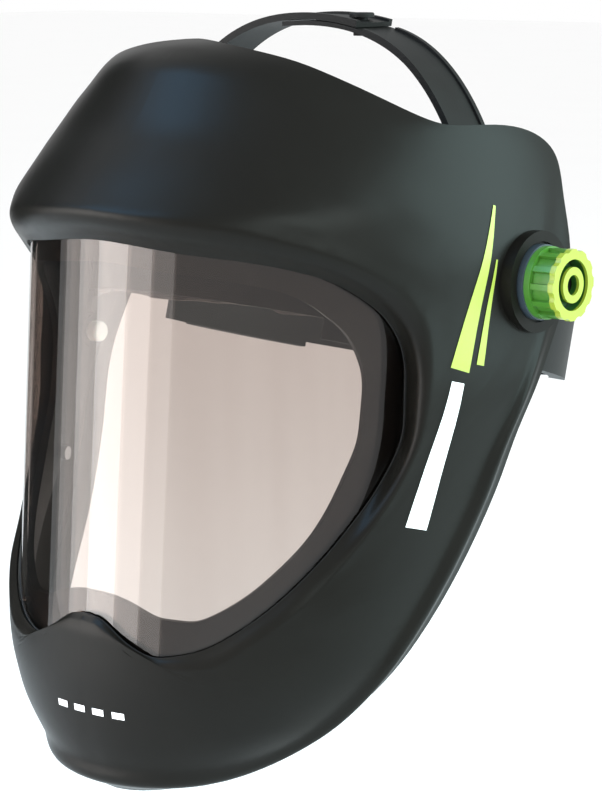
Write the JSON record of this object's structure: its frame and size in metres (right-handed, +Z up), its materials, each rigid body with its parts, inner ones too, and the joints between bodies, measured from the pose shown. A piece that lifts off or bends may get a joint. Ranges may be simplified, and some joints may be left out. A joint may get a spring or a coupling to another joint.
{
  "type": "powered air respirator",
  "caption": "Tilting full-face shield with a clear curved lens, hung by side pivots and clamp knobs from an adjustable head harness with a nape ratchet.",
  "frame": {"origin": "the middle of the visor's pivot axis, on the symmetry plane, inside the wearer's head space", "axes": "+Z up, -Y to the front (the way the wearer looks), +X to the wearer's left"},
  "size_m": [0.2596, 0.2767, 0.2952],
  "materials": {
    "shell_plastic": "satin",
    "lens_clear": "polished",
    "seal_rubber": "matt",
    "frame_plastic": "satin",
    "screw_steel": "satin",
    "band_plastic": "satin",
    "strap_plastic": "satin",
    "foam": "knit over foam",
    "rivet_steel": "satin",
    "spring_steel": "satin",
    "knob_green": "satin",
    "insert_brass": "machined",
    "washer_plastic": "satin",
    "friction_pad": "matt",
    "stud_steel": "machined",
    "slider_plastic": "satin",
    "pin_plastic": "translucent",
    "bushing_plastic": "satin",
    "ratchet_plastic": "satin",
    "pinion_plastic": "satin"
  },
  "bodies": {
    "headgear": {"headband_front": "band_plastic", "sweatband": "foam", "headband_rivets": "rivet_steel", "side_rail_left": "band_plastic", "side_rail_right": "band_plastic", "crown_strap_left": "strap_plastic", "crown_strap_right": "strap_plastic", "crown_peg": "strap_plastic", "ratchet_housing": "ratchet_plastic", "ratchet_cover": "ratchet_plastic", "ratchet_screws": "screw_steel", "ratchet_spring": "spring_steel", "nape_pad": "foam"},
    "carriage": {"slider_left": "slider_plastic", "slider_right": "slider_plastic", "pivot_stud_left": "stud_steel", "pivot_stud_right": "stud_steel", "friction_washer_left": "friction_pad", "friction_washer_right": "friction_pad"},
    "visor": {"shell": "shell_plastic", "lens": "lens_clear", "lens_gasket": "seal_rubber", "lens_frame": "frame_plastic", "lens_frame_screws": "screw_steel", "pin_bushing_left": "bushing_plastic", "pin_bushing_right": "bushing_plastic", "pin_spring_left": "spring_steel", "pin_spring_right": "spring_steel", "outer_washer_left": "washer_plastic", "outer_washer_right": "washer_plastic"},
    "left_knob": {"clamp_knob_left": "knob_green", "knob_insert_left": "insert_brass"},
    "right_knob": {"clamp_knob_right": "knob_green", "knob_insert_right": "insert_brass"},
    "left_pin": {"lens_lock_pin_left": "pin_plastic"},
    "right_pin": {"lens_lock_pin_right": "pin_plastic"},
    "nape_knob": {"ratchet_knob": "ratchet_plastic", "ratchet_pinion": "pinion_plastic"},
    "left_nape_strap": {"nape_strap_left": "strap_plastic"},
    "right_nape_strap": {"nape_strap_right": "strap_plastic"}
  },
  "joints": [
    {"name": "eye_distance", "type": "slide", "parent": "headgear", "child": "carriage", "axis": [0, 0.9659, -0.2588], "range_m": [-0.008, 0.008]},
    {"name": "visor_tilt", "type": "hinge", "parent": "carriage", "child": "visor", "pos_m": [0, 0, 0], "axis": [-1, 0, 0], "range_deg": [0, 62]},
    {"name": "left_knob_turn", "type": "hinge", "parent": "carriage", "child": "left_knob", "pos_m": [0.1166, 0, 0], "axis": [1, 0, 0], "range_deg": [0, 270]},
    {"name": "right_knob_turn", "type": "hinge", "parent": "carriage", "child": "right_knob", "pos_m": [-0.1166, 0, 0], "axis": [-1, 0, 0], "range_deg": [0, 270]},
    {"name": "left_pin_pull", "type": "slide", "parent": "visor", "child": "left_pin", "axis": [-1, 0, 0], "range_m": [0, 0.0025], "stiffness_N_per_m": 400, "springref_m": -0.002, "deforming": ["pin_spring_left"]},
    {"name": "right_pin_pull", "type": "slide", "parent": "visor", "child": "right_pin", "axis": [1, 0, 0], "range_m": [0, 0.0025], "stiffness_N_per_m": 400, "springref_m": -0.002, "deforming": ["pin_spring_right"]},
    {"name": "nape_knob_turn", "type": "hinge", "parent": "headgear", "child": "nape_knob", "pos_m": [0, 0.11808, -0.04613], "axis": [0, 0.9659, -0.2588], "range_deg": [-252, 252]},
    {"name": "left_strap_slide", "type": "hinge", "parent": "headgear", "child": "left_nape_strap", "pos_m": [0, 0.03115, -0.02284], "axis": [0, 0.2588, 0.9659], "range_deg": [-14.6, 14.6]},
    {"name": "right_strap_slide", "type": "hinge", "parent": "headgear", "child": "right_nape_strap", "pos_m": [0, 0.03115, -0.02284], "axis": [0, 0.2588, 0.9659], "range_deg": [-14.6, 14.6]}
  ],
  "couplings": [
    {"joint": "left_strap_slide", "follows": "nape_knob_turn", "ratio": 0.057208},
    {"joint": "right_strap_slide", "follows": "nape_knob_turn", "ratio": -0.055679}
  ]
}
